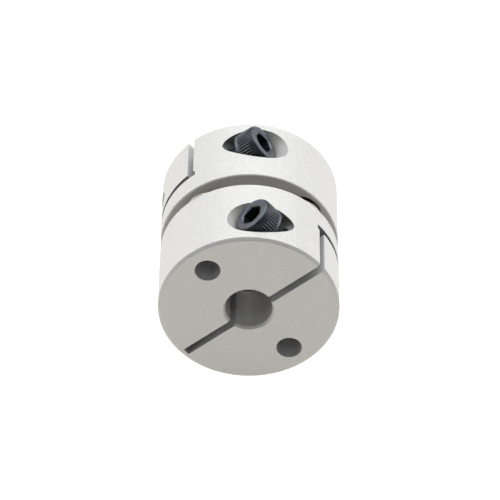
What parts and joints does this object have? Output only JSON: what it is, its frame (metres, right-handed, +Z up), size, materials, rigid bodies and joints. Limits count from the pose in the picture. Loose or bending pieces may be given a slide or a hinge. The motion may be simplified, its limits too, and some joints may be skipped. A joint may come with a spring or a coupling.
{
  "type": "flexible disc coupling",
  "caption": "Flexible shaft coupling: two slit clamp hubs joined by a spring-steel disc pack, with clamp screws backed out ready for the shafts.",
  "frame": {"origin": "centre of hub A's bore mouth, on the coupling's axis and in the plane of hub A's end face", "axes": "+Y along the coupling's axis from hub A to hub B; +Z up with the coupling on its side, midway between the open ends of the two slits"},
  "size_m": [0.019, 0.0198, 0.0208],
  "materials": {
    "hub_aluminium": "fine bead-blasted, clear anodised",
    "black_screw_steel": "black oxide",
    "disc_spring_steel": "rolled stainless spring steel",
    "ring_steel": "turned stainless steel"
  },
  "bodies": {
    "hub_a": {"hub_a": "hub_aluminium", "disc_bolt_a1": "black_screw_steel", "spacer_collar_a1": "ring_steel", "bolt_washer_a1": "ring_steel", "disc_bolt_a2": "black_screw_steel", "spacer_collar_a2": "ring_steel", "bolt_washer_a2": "ring_steel"},
    "disc_pack": {"disc_leaf_1": "disc_spring_steel", "disc_leaf_2": "disc_spring_steel", "disc_leaf_3": "disc_spring_steel", "disc_leaf_4": "disc_spring_steel"},
    "hub_b": {"hub_b": "hub_aluminium", "disc_bolt_b1": "black_screw_steel", "spacer_collar_b1": "ring_steel", "bolt_washer_b1": "ring_steel", "disc_bolt_b2": "black_screw_steel", "spacer_collar_b2": "ring_steel", "bolt_washer_b2": "ring_steel"},
    "clamp_screw_a": {"clamp_screw_a": "black_screw_steel"},
    "clamp_screw_b": {"clamp_screw_b": "black_screw_steel"}
  },
  "joints": [
    {"name": "disc_flex_a", "type": "hinge", "parent": "hub_a", "child": "disc_pack", "pos_m": [0, 0.0099, 0], "axis": [0.7071, 0, 0.7071], "range_deg": [-1, 1], "stiffness_Nm_per_rad": 0.5},
    {"name": "disc_flex_b", "type": "hinge", "parent": "disc_pack", "child": "hub_b", "pos_m": [0, 0.0099, 0], "axis": [-0.7071, 0, 0.7071], "range_deg": [-1, 1], "stiffness_Nm_per_rad": 0.5},
    {"name": "clamp_screw_a_travel", "type": "slide", "parent": "hub_a", "child": "clamp_screw_a", "axis": [-0.7071, 0, 0.7071], "range_m": [-0.00193, 0.002]},
    {"name": "clamp_screw_b_travel", "type": "slide", "parent": "hub_b", "child": "clamp_screw_b", "axis": [0.7071, 0, 0.7071], "range_m": [-0.00163, 0.0023]}
  ]
}
